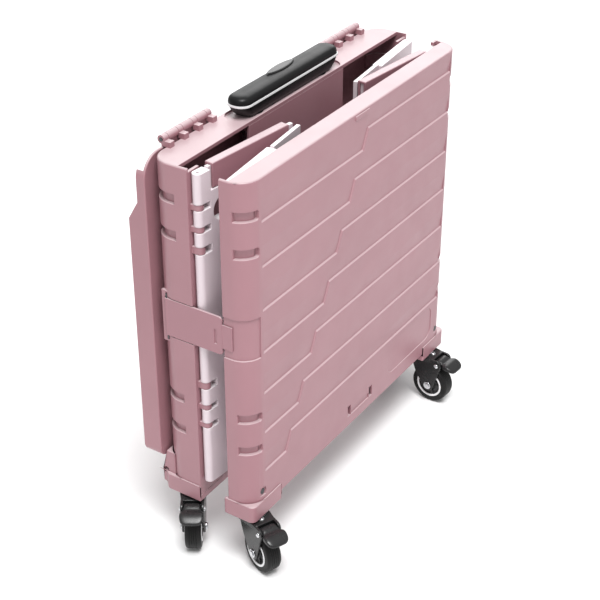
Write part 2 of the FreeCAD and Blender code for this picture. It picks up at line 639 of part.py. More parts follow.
def make_floor_panel():
    board = block("floor_board", ("-floor_half", "floor_half"), ("floor_face", "floor_face + floor_thick"),
                  ("floor_low", "floor_high"))
    board = rounded("floor_corners", board, 3.4,
                    lambda middle, tangent: abs(tangent.x) > 0.99 and middle.z < 30)
    removed = [rod("floor_panel_bore", "2 + pin_play", "400", x="-200",
                   y="floor_face + floor_thick / 2", z="floor_low + 3.5", axis=RIGHT)]
    for count, start in enumerate(FLOOR_EARS):
        removed.append(block(f"floor_ear_gap_{count}", (f"{start} - gap", f"{start} + 8 + gap"),
                             ("floor_face - 1", "floor_face + floor_thick + 1"),
                             ("floor_low - 1", "floor_low + 8.5")))
    for count in range(5):
        removed.append(block(f"floor_groove_{count}", ("-170", "170"),
                             ("floor_face + floor_thick - 1", "floor_face + floor_thick + 1"),
                             (60 + 50 * count, 66 + 50 * count)))
    finish("floor_panel", cut("floor_panel", board, removed))
    pins = [rod(f"floor_pin_{count}", "2", "24", x=start - 8, y="floor_face + floor_thick / 2",
                z="floor_low + 3.5", axis=RIGHT) for count, start in enumerate(FLOOR_EARS)]
    finish("floor_pins", fuse("floor_pins", pins))


# ---------------------------------------------------------------- belt strap


def make_belt_strap():
    plate = block("strap_plate", ("-(cart_width / 2 + 0.2)", "-(strap_axis_side - 0.7)"),
                  ("strap_front", "strap_axis_depth"), ("strap_low", "strap_high"))
    plate = rounded("strap_corners", plate, 4.0,
                    lambda middle, tangent: abs(tangent.x) > 0.99 and middle.y < 50)
    tongue = block("strap_tongue", ("-(cart_width / 2)", "-(cart_width / 2 - 1.2)"),
                   ("strap_front - 12", "strap_front + 2"), ("strap_low + 8", "strap_high - 8"))
    knuckle = rod("strap_knuckle", "1.9", "strap_high - strap_low", x="-strap_axis_side",
                  y="strap_axis_depth", z="strap_low")
    bore = rod("strap_knuckle_bore", "0.9 + pin_play", "strap_high - strap_low + 2",
               x="-strap_axis_side", y="strap_axis_depth", z="strap_low - 1")
    slot = block("strap_slot", ("-(cart_width / 2 + 1)", "-(cart_width / 2 - 1)"), ("40", "43"),
                 ("205", "222"))
    body = fuse("strap_body", [plate, tongue, knuckle])
    finish("belt_strap", cut("belt_strap", body, [bore, slot]))
    finish("belt_pin", round_bar("belt_pin", "0.9", "strap_high - strap_low + 10"),
           x="-strap_axis_side", y="strap_axis_depth", z="strap_low - 5")


# ---------------------------------------------------------------- telescopic handle


def tube_pair(node, radius, bottom, top):
    """Two round tubes, one each side of the middle plane."""
    tubes = []
    for sign, hand in ((-1, "left"), (1, "right")):
        place = {"x": f"{sign} * tube_side", "y": "tube_depth"}
        outside = rod(f"{node}_{hand}", radius, f"({top}) - ({bottom})", z=bottom, **place)
        inside = rod(f"{node}_bore_{hand}", f"{radius} - tube_wall", f"({top}) - ({bottom}) + 2",
                     z=f"{bottom} - 1", **place)
        tubes.append(cut(f"{node}_tube_{hand}", outside, [inside]))
    finish(node, fuse(node, tubes))


def grip_layer(name, inset, low, high):
    layer = block(name, (f"-(grip_half - {inset})", f"grip_half - {inset}"),
                  (f"grip_front + {inset}", f"grip_front + grip_width - {inset}"), (low, high))
    return rounded(name + "_ends", layer, 12.0 - inset, upright)


def make_handle():
    tube_pair("outer_tubes", "tube_outer", "sill + 2", "shell_height - band - 0.5")
    tube_pair("middle_tubes", "tube_middle", "sill + 4", "shell_height - band + 1.4")
    tube_pair("inner_tubes", "tube_inner", "sill + 6", "grip_low + 12")
    collars = []
    for sign, hand in ((-1, "left"), (1, "right")):
        place = {"x": f"{sign} * tube_side", "y": "tube_depth"}
        ring = rod(f"collar_{hand}", "tube_outer + 1", "1.6", z="shell_height - band", **place)
        hole = rod(f"collar_bore_{hand}", "tube_middle + 0.3", "6", z="shell_height - band - 1", **place)
        collars.append(cut(f"collar_ring_{hand}", ring, [hole]))
    finish("tube_collars", fuse("tube_collars", collars))

    lower = grip_layer("grip_lower_block", 0, "grip_low", "trim_low")
    half, low, high = size("grip_half"), size("grip_low"), size("trim_low")
    front, back = size("grip_front") - 1, size("grip_front") + size("grip_width") + 1
    tapers = [slab(f"grip_taper_{hand}", [Vector(sign * (half + 1), front, low - 1),
                                          Vector(sign * (half - 11), front, low - 1),
                                          Vector(sign * (half + 1), front, high - 1)],
                   Vector(0, back - front, 0)) for sign, hand in ((-1, "left"), (1, "right"))]
    lower = cut("grip_tapered", lower, tapers)
    sockets = [rod(f"grip_socket_{hand}", "tube_inner", "13", x=f"{sign} * tube_side", y="tube_depth",
                   z="grip_low - 1") for sign, hand in ((-1, "left"), (1, "right"))]
    finish("grip_lower", cut("grip_lower", lower, sockets))
    trim = grip_layer("grip_trim_block", -0.4, "trim_low", "trim_high")
    finish("grip_trim", fuse("grip_trim", [trim, grip_layer("grip_trim_core", 2, "trim_low", "trim_high")]))
    upper = rounded("grip_top_edge", grip_layer("grip_upper_block", 0.3, "trim_high", "grip_high"), 5.0,
                    lambda middle, tangent: middle.z > size("grip_high") - 0.1)
    depth = "grip_front + grip_width / 2"
    well = block("button_well", ("-(button_half + 0.4)", "button_half + 0.4"),
                 (f"{depth} - 7.4", f"{depth} + 7.4"), ("trim_high - 1", "grip_high + 1"))
    well = rounded("button_well_ends", well, 7.2, upright)
    finish("grip_upper", cut("grip_upper", upper, [well]))
    button = block("button_block", ("-button_half", "button_half"), (f"{depth} - 7", f"{depth} + 7"),
                   ("trim_high + 3.4", "button_top"))
    button = rounded("button_ends", button, 6.8, upright)
    button = rounded("button_crown", button, 1.6,
                     lambda middle, tangent: middle.z > size("button_top") - 0.1)
    core = block("button_core", ("-10", "10"), (f"{depth} - 4", f"{depth} + 4"),
                 ("trim_high + 3.4", "trim_high + 5"))
    finish("release_button", fuse("release_button", [button, core]))


# ---------------------------------------------------------------- feet and casters


def make_foot(node, sign, front):
    """A corner foot: a squarer block under the shell whose skirt leaves a ledge round the corner."""
    across = side(sign, "foot_inner", "cart_width / 2 + foot_proud")
    along = ("-foot_proud", "front_depth + 5") if front else ("rear_start", "rear_back + foot_proud")
    stem_depth = "front_stem" if front else "rear_stem"
    edge = (lambda depth: depth < 0) if front else (lambda depth: depth > size("rear_back"))
    outside = block(f"{node}_block", across, along, ("-foot_drop", "foot_rise"))
    corner = lambda middle, tangent: (upright(middle, tangent) and edge(middle.y)
                                      and abs(middle.x) > size("cart_width") / 2)
    outside = rounded(f"{node}_corner", outside, size("foot_corner"), corner)
    far_end = size("front_depth") + 4.9
    outer_edges = lambda middle, tangent: (abs(tangent.z) < 0.01 and (edge(middle.y)
                                           or abs(middle.x) > size("cart_width") / 2 + 0.1
                                           or (front and middle.y > far_end)))
    outside = rounded(f"{node}_edges", outside, 1.6, outer_edges)
    if front:
        seat = shell_prism(f"{node}_seat", "0", "front_depth", lambda depth: depth < 1, 0.0, "0",
                           "foot_rise + 1")
        hinge_room = block(f"{node}_hinge_room", side(sign, "foot_inner - 1", "cart_width / 2 - wall"),
                           ("front_depth - 1", "front_depth + 6"), ("0", "foot_rise + 1"))
        seat = fuse(f"{node}_room", [seat, hinge_room])
    else:
        seat = shell_prism(f"{node}_seat", "rear_start - 1", "rear_back",
                           lambda depth: depth > size("rear_back") - 1, 0.0, "0", "heel_rise + 1")
        back = size("rear_back")
        start = sign * (size("cart_width") / 2 - 2)
        heel = slab(f"{node}_heel_wedge", [
            Vector(start, back - 12, size("heel_rise")), Vector(start, back, size("heel_rise")),
            Vector(start, back + 5.8, 15), Vector(start, back + 5.8, -3), Vector(start, back - 12, -3)],
            Vector(-sign * 20, 0, 0))
        outside = fuse(f"{node}_heeled", [outside, heel])
    boss = rod(f"{node}_boss", "stem_radius + 4", "13", x=f"{sign} * stem_side", y=stem_depth, z="0")
    socket = rod(f"{node}_socket", "stem_radius", "30", x=f"{sign} * stem_side", y=stem_depth, z="-15")
    removed = [socket]
    if not front:
        removed.append(rod(f"{node}_heel_hole", "2.6", "9", x=f"{sign} * (cart_width / 2 - 1) - 4.5",
                           y="rear_back + 1.6", z="14", axis=RIGHT))
    body = cut(f"{node}_shape", outside, [seat])
    finish(node, cut(node, fuse(f"{node}_body", [body, boss]), removed))


def make_screws(node, across, depth):
    screws = []
    for sign, hand in ((-1, "left"), (1, "right")):
        screws.append(rod(f"{node}_head_{hand}", "4", "1.4", x=f"{sign} * {across}", y=depth, z="22",
                          axis=REARWARD))
    heads = fuse(f"{node}_heads", screws)
    mouth = f"{depth} - 0.6" if node.startswith("front") else f"{depth} + 0.6"
    sockets = [rod(f"{node}_socket_{hand}", "1.5", "1.4", x=f"{sign} * {across}", y=mouth, z="22",
                   axis=REARWARD) for sign, hand in ((-1, "left"), (1, "right"))]
    finish(node, cut(node, heads, sockets))


def fork_leg(name, start):
    """A tapered plate from the swivel plate down to the axle, rearwards to the pedal hinge."""
    leg = slab(f"{name}_plate", [Vector(-9, start, -4), Vector(38, start, -4), Vector(38, start, -15),
                                 Vector(31, start, -40), Vector(27, start, -52), Vector(17, start, -52),
                                 Vector(13, start, -40), Vector(-9, start, -12)],
               Vector(0, size("leg_thick"), 0))
    return rounded(f"{name}_soft", leg, 3.0,
                   lambda middle, tangent: abs(tangent.y) > 0.99 and middle.z < -10)


def make_caster(corner, sign, stem_depth, heading):
    """A swivel caster: X runs from the stem towards the trailing wheel, Z up from the foot."""
    place = {"x": f"{sign} * stem_side", "y": stem_depth, "z": "(0 - foot_drop)", "turn": heading}
    name = f"caster_{corner}"
    plate = rod(f"{name}_plate", "19", "3", z="-3")
    stem = rod(f"{name}_stem", "stem_radius", "20", z="0")
    kingpin = rod(f"{name}_kingpin", "4", "7", z="-10")
    head = rod(f"{name}_kingpin_head", "7", "3", z="-12.6")
    finish(f"{name}_mount", fuse(f"{name}_mount", [plate, stem, kingpin, head]), **place)

    crown = rod(f"{name}_crown", "17", "6", z="-9.3")
    bridge = block(f"{name}_bridge", ("0", "26"), ("-(leg_inner + leg_thick)", "leg_inner + leg_thick"),
                   ("-9.3", "-3.3"))
    legs = [fork_leg(f"{name}_leg_{hand}", start) for hand, start in
            (("left", size("leg_inner")), ("right", -size("leg_inner") - size("leg_thick")))]
    fork = fuse(f"{name}_fork_body", [crown, bridge] + legs)
    bores = [rod(f"{name}_swivel_bore", "4 + pin_play", "12", z="-14")]
    for bore, radius, along, drop in (("axle", "axle_radius", "trail", "axle_drop"),
                                      ("pedal", "1.5", "pedal_trail", "pedal_drop")):
        bores.append(rod(f"{name}_{bore}_bore", radius, "40", x=along, y="-20", z=f"-{drop}",
                         axis=REARWARD))
    finish(f"{name}_fork", cut(f"{name}_fork", fork, bores), **place)

    axle = rod(f"{name}_axle_shaft", "axle_radius", "2 * (leg_inner + leg_thick)", x="trail",
               y="-(leg_inner + leg_thick)", z="-axle_drop", axis=REARWARD)
    caps = [rod(f"{name}_axle_cap_{hand}", "5", "1.6", x="trail", y=start, z="-axle_drop", axis=REARWARD)
            for hand, start in (("left", "leg_inner + leg_thick"),
                                ("right", "-(leg_inner + leg_thick + 1.6)"))]
    finish(f"{name}_axle", fuse(f"{name}_axle", [axle] + caps), **place)

    make_wheel(name, sign, stem_depth, heading)

    arm = slab(f"{name}_pedal_arm", [Vector(27, -9.6, -12), Vector(29, -9.6, -6.5), Vector(40, -9.6, -6),
                                     Vector(40, -9.6, -14), Vector(33, -9.6, -15), Vector(29, -9.6, -15)],
               Vector(0, 19.2, 0))
    half, reach = size("pedal_half"), size("pedal_reach")
    tread = slab(f"{name}_pedal_tread", [Vector(39.5, -half, -6), Vector(46, -half, -5.2),
                                         Vector(reach, -half, -12), Vector(reach, -half, -15),
                                         Vector(47, -half, -12), Vector(39.5, -half, -13.5)],
                 Vector(0, 2 * half, 0))
    tread = rounded(f"{name}_pedal_tip", tread, 5.0,
                    lambda middle, tangent: abs(tangent.z) > 0.9 and middle.x > reach - 0.1)
    hinge = rod(f"{name}_pedal_hinge_bore", "1.5 + pin_play", "40", x="pedal_trail", y="-20",
                z="-pedal_drop", axis=REARWARD)
    finish(f"{name}_pedal", cut(f"{name}_pedal", fuse(f"{name}_pedal_body", [arm, tread]), [hinge]), **place)


def mirrored(upper):
    """A turned outline from its upper half: the same corners below the middle, then back up."""
    lower = [(across, -along, across_formula, f"-({along_formula})")
             for across, along, across_formula, along_formula in upper]
    return lower + upper[::-1]


def make_wheel(name, sign, stem_depth, heading):
    """Hub and tyre, turned about Z and then laid over so that they spin about the axle."""
    half, hub, radius = size("wheel_half"), size("hub_radius"), size("wheel_radius")
    hub_outline = mirrored([
        (size("axle_radius") + size("pin_play"), half, "axle_radius + pin_play", "wheel_half"),
        (7.0, half, "7", "wheel_half"), (8.0, half - 1.5, "8", "wheel_half - 1.5"),
        (hub - 4, half - 1.5, "hub_radius - 4", "wheel_half - 1.5"),
        (hub - 3, half - 0.5, "hub_radius - 3", "wheel_half - 0.5"),
        (hub, half - 0.5, "hub_radius", "wheel_half - 0.5")])
    tyre_outline = mirrored([
        (hub, half, "hub_radius", "wheel_half"), (radius - 3, half, "wheel_radius - 3", "wheel_half"),
        (radius - 0.8, half - 2, "wheel_radius - 0.8", "wheel_half - 2"),
        (radius, half - 4, "wheel_radius", "wheel_half - 4")])
    lay_over = Rotation(UP, heading).multiply(Rotation(RIGHT, 90))
    offset = Rotation(UP, heading).multVec(Vector(size("trail"), 0, 0))
    for node, outline in ((f"{name}_hub", hub_outline), (f"{name}_tyre", tyre_outline)):
        wheel = finish(node, turned(node, outline))
        wheel.Placement = Placement(Vector(), lay_over)
        bind(wheel, Placement__Base__x=f"{sign} * stem_side + {offset.x}",
             Placement__Base__y=f"depth_datum + {stem_depth} + {offset.y}",
             Placement__Base__z="floor_datum - foot_drop - axle_drop")


CORNERS = {
    # corner: (side, stem, heading of the trailing wheel in degrees from +X)
    "front_left": (-1, "front_stem", 247.0),
    "front_right": (1, "front_stem", 266.0),
    "rear_left": (-1, "rear_stem", 213.0),
    "rear_right": (1, "rear_stem", 327.0),
}

make_front_shell()
make_rear_shell()
make_handle_bay_cover()
make_panels()
make_lid()
make_floor_panel()
make_belt_strap()
make_handle()
for corner_name, (hand_sign, stem, heading_angle) in CORNERS.items():
    make_foot(f"foot_{corner_name}", hand_sign, corner_name.startswith("front"))
    make_caster(corner_name, hand_sign, stem, heading_angle)
make_screws("front_screws", "front_screw_side", "0.2")
make_screws("rear_screws", "rear_screw_side", "rear_back - 1.5")

doc.recompute()
failed = [item.Name for item in doc.Objects if "Invalid" in item.State or "Error" in item.State]
if failed:
    raise RuntimeError(f"did not rebuild: {failed}")
for node, item in nodes.items():
    if item.Shape.isNull() or not item.Shape.isValid() or not item.Shape.Solids:
        raise RuntimeError(f"{node} has no valid solid")

os.makedirs("parts", exist_ok=True)
for node, item in nodes.items():
    item.Shape.exportStep(f"parts/{node}.step")
box = FreeCAD.BoundBox()
for item in nodes.values():
    box.add(item.Shape.BoundBox)
print(f"{len(nodes)} sub-parts, X {box.XMin:.2f}..{box.XMax:.2f}, Y {box.YMin:.2f}..{box.YMax:.2f}, "
      f"Z {box.ZMin:.2f}..{box.ZMax:.2f}")
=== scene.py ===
"""Looks for the folding box cart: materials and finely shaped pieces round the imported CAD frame."""

import json
import math

import bmesh
import bpy
import mathutils
from mathutils import Matrix, Vector


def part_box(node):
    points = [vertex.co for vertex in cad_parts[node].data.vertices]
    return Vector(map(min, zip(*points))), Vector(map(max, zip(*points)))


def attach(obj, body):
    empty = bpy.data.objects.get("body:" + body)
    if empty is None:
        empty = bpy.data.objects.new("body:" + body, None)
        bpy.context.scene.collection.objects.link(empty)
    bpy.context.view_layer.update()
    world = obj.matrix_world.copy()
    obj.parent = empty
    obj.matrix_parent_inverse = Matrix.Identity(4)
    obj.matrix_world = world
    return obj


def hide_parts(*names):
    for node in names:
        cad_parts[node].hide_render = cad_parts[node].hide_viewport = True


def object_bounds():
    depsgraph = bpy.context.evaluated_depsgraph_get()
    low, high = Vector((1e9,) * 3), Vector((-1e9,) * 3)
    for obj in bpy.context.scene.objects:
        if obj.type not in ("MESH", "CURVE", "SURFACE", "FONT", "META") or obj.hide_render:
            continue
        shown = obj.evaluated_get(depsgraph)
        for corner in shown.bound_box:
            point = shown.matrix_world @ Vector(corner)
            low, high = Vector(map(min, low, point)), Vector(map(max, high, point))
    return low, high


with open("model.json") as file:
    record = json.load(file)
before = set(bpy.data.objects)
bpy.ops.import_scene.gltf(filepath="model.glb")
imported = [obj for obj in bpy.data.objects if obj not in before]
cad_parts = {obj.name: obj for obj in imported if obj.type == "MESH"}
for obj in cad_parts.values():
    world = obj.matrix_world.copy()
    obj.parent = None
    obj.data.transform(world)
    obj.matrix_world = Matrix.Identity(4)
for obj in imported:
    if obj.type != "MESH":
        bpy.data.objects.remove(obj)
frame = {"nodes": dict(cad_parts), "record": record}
cad_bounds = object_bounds()

MM = 0.001
TO_METRES = Matrix.Scale(MM, 4)
NODES = frame["nodes"]
BODIES = {node: body for body, nodes in frame["record"]["behaviour"]["bodies"].items() for node in nodes}
SLOTS = {part["node"]: part["material_slot"] for part in frame["record"]["subparts"]}
LOW, HIGH = (Vector(corner) for corner in cad_bounds)


# ---------------------------------------------------------------- materials


class Shader:
    """A node material with a Principled surface and helpers for procedural detail."""

    def __init__(self, name, roughness=0.5, metallic=0.0, specular=0.5):
        self.material = bpy.data.materials.new(name)
        self.material.use_nodes = True
        self.tree = self.material.node_tree
        self.surface = self.tree.nodes["Principled BSDF"]
        self.surface.inputs["Metallic"].default_value = metallic
        self.surface.inputs["Roughness"].default_value = roughness
        self.surface.inputs["Specular IOR Level"].default_value = specular
        self.place = self.node("ShaderNodeTexCoord").outputs["Object"]

    def node(self, kind, **settings):
        item = self.tree.nodes.new(kind)
        for name, value in settings.items():
            setattr(item, name, value)
        return item

    def link(self, source, target):
        self.tree.links.new(source, target)

    def noise(self, scale, detail=4.0, stretch=None, roughness=0.55):
        item = self.node("ShaderNodeTexNoise")
        item.inputs["Scale"].default_value = scale
        item.inputs["Detail"].default_value = detail
        item.inputs["Roughness"].default_value = roughness
        source = self.place
        if stretch is not None:
            mapping = self.node("ShaderNodeMapping")
            mapping.inputs["Scale"].default_value = stretch
            self.link(self.place, mapping.inputs["Vector"])
            source = mapping.outputs["Vector"]
        self.link(source, item.inputs["Vector"])
        return item.outputs["Fac"]

    def span(self, source, low, high, from_low=0.0, from_high=1.0):
        item = self.node("ShaderNodeMapRange")
        item.inputs["From Min"].default_value = from_low
        item.inputs["From Max"].default_value = from_high
        item.inputs["To Min"].default_value = low
        item.inputs["To Max"].default_value = high
        self.link(source, item.inputs["Value"])
        return item.outputs["Result"]

    def mix(self, factor, first, second):
        item = self.node("ShaderNodeMix", data_type="RGBA")
        for value, socket in ((factor, item.inputs[0]), (first, item.inputs[6]), (second, item.inputs[7])):
            if isinstance(value, bpy.types.NodeSocket):
                self.link(value, socket)
            else:
                socket.default_value = value
        return item.outputs[2]

    def facing_up(self):
        """1 where the surface faces up, 0 where it is upright or faces down."""
        split = self.node("ShaderNodeSeparateXYZ")
        self.link(self.node("ShaderNodeNewGeometry").outputs["Normal"], split.inputs["Vector"])
        return self.span(split.outputs["Z"], 0.0, 1.0, 0.25, 0.85)

    def bump(self, source, strength, depth):
        item = self.node("ShaderNodeBump")
        item.inputs["Strength"].default_value = strength
        item.inputs["Distance"].default_value = depth
        self.link(source, item.inputs["Height"])
        self.link(item.outputs["Normal"], self.surface.inputs["Normal"])


def rgba(red, green, blue):
    return (red, green, blue, 1.0)


def moulded(name, colour, variation=0.04, grain=1500.0, depth=0.00004, roughness=0.42, painted_top_highlight=0.25,
            specular=0.5):
    """Moulded plastic: faint cloudy colour, fine spark-eroded grain, and a painted highlight that lightens
    what faces up.
    """
    shader = Shader(name, roughness, specular=specular)
    deep = rgba(*(channel * (1 - variation) for channel in colour))
    pale = rgba(*(min(1.0, channel * (1 + variation)) for channel in colour))
    cloud = shader.noise(9.0, 3.0)
    body = shader.mix(shader.span(cloud, 0.0, 1.0, 0.3, 0.7), deep, pale)
    # Painted highlight: faces that point up are mixed towards white, standing in for the brighter light and
    # sheen from above.
    highlight_colour = rgba(*(channel + (1 - channel) * painted_top_highlight for channel in colour))
    shader.link(shader.mix(shader.facing_up(), body, highlight_colour), shader.surface.inputs["Base Color"])
    fine = shader.noise(grain, 2.0)
    patches = shader.noise(40.0, 3.0)
    shader.link(shader.span(patches, roughness - 0.05, roughness + 0.06, 0.3, 0.7),
                shader.surface.inputs["Roughness"])
    shader.bump(fine, 0.35, depth)
    return shader.material


def metal(name, colour, roughness, stretch=(1.0, 1.0, 60.0), scale=90.0):
    """Drawn or plated steel with fine lines along the piece."""
    shader = Shader(name, roughness, metallic=1.0)
    lines = shader.noise(scale, 3.0, stretch=stretch)
    dark = rgba(*(channel * 0.82 for channel in colour))
    shader.link(shader.mix(lines, dark, rgba(*colour)), shader.surface.inputs["Base Color"])
    shader.link(shader.span(lines, roughness - 0.08, roughness + 0.12, 0.3, 0.7),
                shader.surface.inputs["Roughness"])
    shader.bump(lines, 0.12, 0.00002)
    return shader.material


PINK = (0.345, 0.172, 0.198)
# In each material, the amount that lightens upward faces towards white is a painted highlight from the
# light above.
MATERIALS = {
    "shell_pink": moulded("shell_pink", PINK, roughness=0.36),
    "lid_pink": moulded("lid_pink", PINK, variation=0.05, roughness=0.38),
    "bar_pink": moulded("bar_pink", (0.335, 0.162, 0.19), roughness=0.34),
    "panel_white": moulded("panel_white", (0.68, 0.585, 0.62), variation=0.02, painted_top_highlight=0.5, roughness=0.34),
    "grip_black": moulded("grip_black", (0.006, 0.006, 0.0065), grain=2200.0, roughness=0.38, painted_top_highlight=0.005,
                          specular=0.2),
    "button_black": moulded("button_black", (0.008, 0.008, 0.0085), roughness=0.22, painted_top_highlight=0.01,
                            specular=0.4),
    "collar_black": moulded("collar_black", (0.012, 0.012, 0.012), painted_top_highlight=0.02, specular=0.3),
    "fork_black": moulded("fork_black", (0.010, 0.010, 0.0105), roughness=0.24, painted_top_highlight=0.015, specular=0.45),
    "pedal_black": moulded("pedal_black", (0.009, 0.009, 0.0095), roughness=0.28, painted_top_highlight=0.015,
                           specular=0.4),
    "hub_grey": moulded("hub_grey", (0.022, 0.022, 0.023), roughness=0.3, painted_top_highlight=0.03, specular=0.4),
    "tyre_black": moulded("tyre_black", (0.006, 0.006, 0.006), grain=900.0, roughness=0.5, painted_top_highlight=0.01,
                          specular=0.25),
    "trim_silver": moulded("trim_silver", (0.86, 0.86, 0.87), variation=0.01, roughness=0.3, painted_top_highlight=0.1),
    "tube_steel": metal("tube_steel", (0.70, 0.71, 0.73), 0.24, stretch=(60.0, 60.0, 1.0)),
    "pin_steel": metal("pin_steel", (0.12, 0.12, 0.125), 0.5),
    "caster_steel": metal("caster_steel", (0.72, 0.73, 0.75), 0.2),
}


# ---------------------------------------------------------------- mesh tools


def piece(name, mesh, body, slot, replaced=()):
    """A mesh, already in place, made into an object that rides on a body."""
    item = bpy.data.objects.new(name, mesh)
    bpy.context.scene.collection.objects.link(item)
    mesh.materials.append(MATERIALS[slot])
    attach(item, body)
    if replaced:
        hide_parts(*replaced)
    return item


def from_bmesh(name, shape, place):
    """The finished shape as a smooth-shaded mesh, moved to its place in metres."""
    bmesh.ops.recalc_face_normals(shape, faces=shape.faces)
    mesh = bpy.data.meshes.new(name)
    shape.to_mesh(mesh)
    shape.free()
    mesh.transform(place)
    mesh.polygons.foreach_set("use_smooth", [True] * len(mesh.polygons))
    return mesh


def soften(item, width, segments=2, angle=28.0):
    """Break the sharp edges of item and shade it smoothly from its large flat faces."""
    bevel = item.modifiers.new("broken_edges", "BEVEL")
    bevel.width = width
    bevel.segments = segments
    bevel.limit_method = "ANGLE"
    bevel.angle_limit = math.radians(angle)
    bevel.use_clamp_overlap = False
    normals = item.modifiers.new("flat_faces", "WEIGHTED_NORMAL")
    normals.keep_sharp = True
    normals.weight = 100


def loft(name, rings, place):
    """Closed rings of equal length joined into a skin, with both ends closed."""
    shape = bmesh.new()
    rows = [[shape.verts.new(point) for point in ring] for ring in rings]
    count = len(rows[0])
    for lower, upper in zip(rows, rows[1:]):
        for index in range(count):
            after = (index + 1) % count
            shape.faces.new((lower[index], lower[after], upper[after], upper[index]))
    shape.faces.new(rows[0][::-1])
    shape.faces.new(rows[-1])
    return from_bmesh(name, shape, place)


def round_rectangle(half_x, half_y, radius, height, steps=8):
    """A rounded rectangle in the XY plane at a height."""
    ring = []
    for sign_x, sign_y, start in ((1, 1, 0), (-1, 1, 90), (-1, -1, 180), (1, -1, 270)):
        centre = Vector((sign_x * (half_x - radius), sign_y * (half_y - radius), height))
        for step in range(steps + 1):
            turn = math.radians(start + 90 * step / steps)
            ring.append(centre + Vector((math.cos(turn), math.sin(turn), 0)) * radius)
    return ring


def lathe(shape, profile, centre, steps=72):
    """Turn a closed profile of (radius, across) about the Y line through centre."""
    rows = []
    for step in range(steps):
        turn = math.tau * step / steps
        rows.append([shape.verts.new((centre[0] + radius * math.cos(turn), across,
                                      centre[1] + radius * math.sin(turn))) for radius, across in profile])
    for step, row in enumerate(rows):
        after = rows[(step + 1) % steps]
        for index in range(len(profile)):
            following = (index + 1) % len(profile)
            shape.faces.new((row[index], row[following], after[following], after[index]))


def hull(circles, steps=40):
    """The outline round circles given as (x, y, radius)."""
    points = [Vector((x + radius * math.cos(math.tau * step / steps),
                      y + radius * math.sin(math.tau * step / steps)))
              for x, y, radius in circles for step in range(steps)]
    return [points[index] for index in mathutils.geometry.convex_hull_2d(points)]


def prism(shape, outline, low, high, upright):
    """A flat outline made thick: across Y when upright, else along Z."""
    ends = []
    for level in (low, high):
        ends.append([shape.verts.new((a, level, b) if upright else (a, b, level)) for a, b in outline])
    count = len(outline)
    for index in range(count):
        after = (index + 1) % count
        shape.faces.new((ends[0][index], ends[0][after], ends[1][after], ends[1][index]))
    shape.faces.new(ends[0][::-1])
    shape.faces.new(ends[1])


def dome(shape, centre, radius, rise, along, steps=20, rows=5):
    """A closed rivet head: a flattened dome standing along a direction."""
    turn = Vector(along).to_track_quat("Z", "Y")
    tip = shape.verts.new(Vector(centre) + turn @ Vector((0, 0, rise)))
    below = None
    for row in range(rows):
        lean = math.pi / 2 * row / rows
        ring = []
        for step in range(steps):
            angle = math.tau * step / steps
            ring.append(shape.verts.new(Vector(centre) + turn @ Vector(
                (radius * math.cos(lean) * math.cos(angle), radius * math.cos(lean) * math.sin(angle),
                 rise * math.sin(lean)))))
        if below is None:
            shape.faces.new(ring[::-1])
        else:
            for step in range(steps):
                after = (step + 1) % steps
                shape.faces.new((below[step], below[after], ring[after], ring[step]))
        below = ring
    for step in range(steps):
        shape.faces.new((below[step], below[(step + 1) % steps], tip))


def middle_of(node):
    low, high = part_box(node)
    return (Vector(low) + Vector(high)) / 2


def standing_on(node):
    """The placing, from millimetres, whose origin is the middle of a node's underside."""
    low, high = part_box(node)
    return Matrix.Translation(((low[0] + high[0]) / 2, (low[1] + high[1]) / 2, low[2])) @ TO_METRES


# ---------------------------------------------------------------- moulded CAD pieces

FINE = ("front_shell", "rear_shell", "lid_panel", "handle_bay_cover", "left_rear_panel", "left_front_panel",
        "right_rear_panel", "right_front_panel", "left_lock_bar", "right_lock_bar", "floor_panel",
        "belt_strap", "foot_front_left", "foot_front_right", "foot_rear_left", "foot_rear_right")
WELD = 0.002 * MM
COPLANAR, SHALLOW_FOLD, SHARP_FOLD = math.radians(0.4), math.radians(1.0), math.radians(28.0)
BROAD = 3.0 * MM
MOULD_EDGE, FOOT_EDGE = 0.32 * MM, 1.4 * MM

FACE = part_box("front_shell")[0][1] / MM
SCREW_SIDE, SCREW_HEIGHT = 190.5, middle_of("front_screws").z / MM
SLOTS_ACROSS = ((-19.5, -15), (30, 34.5))
SLOT_LOW, SLOT_HIGH = SCREW_HEIGHT - 8, SCREW_HEIGHT + 6
SLOT_DEPTH, WELL_DEPTH, WELL_RADIUS = 7, 2.6, 5.2


def broad(face):
    """True of a wide flat face, and not of the narrow strips that make up a rounded corner."""
    return face.calc_area() > BROAD * face.calc_perimeter()


def cut(mesh, tool):
    """A new mesh: the first less the second."""
    body, cutter = bpy.data.objects.new("body", mesh), bpy.data.objects.new("cutter", tool)
    for item in (body, cutter):
        bpy.context.scene.collection.objects.link(item)
    remove = body.modifiers.new("cut", "BOOLEAN")
    remove.object = cutter
    remove.solver = "EXACT"
    remove.use_self = True
    remove.use_hole_tolerant = True
    result = bpy.data.meshes.new_from_object(body.evaluated_get(bpy.context.evaluated_depsgraph_get()))
    for item in (body, cutter):
        bpy.data.objects.remove(item)
    return result


def front_openings():
    """The open catch slots and the screw wells, low on the front face."""
    shape = bmesh.new()
    for left, right in SLOTS_ACROSS:
        corners = [(left, SLOT_LOW), (right, SLOT_LOW), (right, SLOT_HIGH), (left, SLOT_HIGH)]
        prism(shape, corners, FACE - 1, FACE + SLOT_DEPTH, True)
    for side in (-1, 1):
        well = hull([(side * SCREW_SIDE, SCREW_HEIGHT, WELL_RADIUS)])
        prism(shape, well, FACE - 1, FACE + WELL_DEPTH, True)
    return from_bmesh("openings", shape, TO_METRES)


def welded(mesh):
    """The mesh as one connected skin, with the seams along its sharp edges closed."""
    shape = bmesh.new()
    shape.from_mesh(mesh)
    bmesh.ops.remove_doubles(shape, verts=shape.verts, dist=WELD)
    return shape


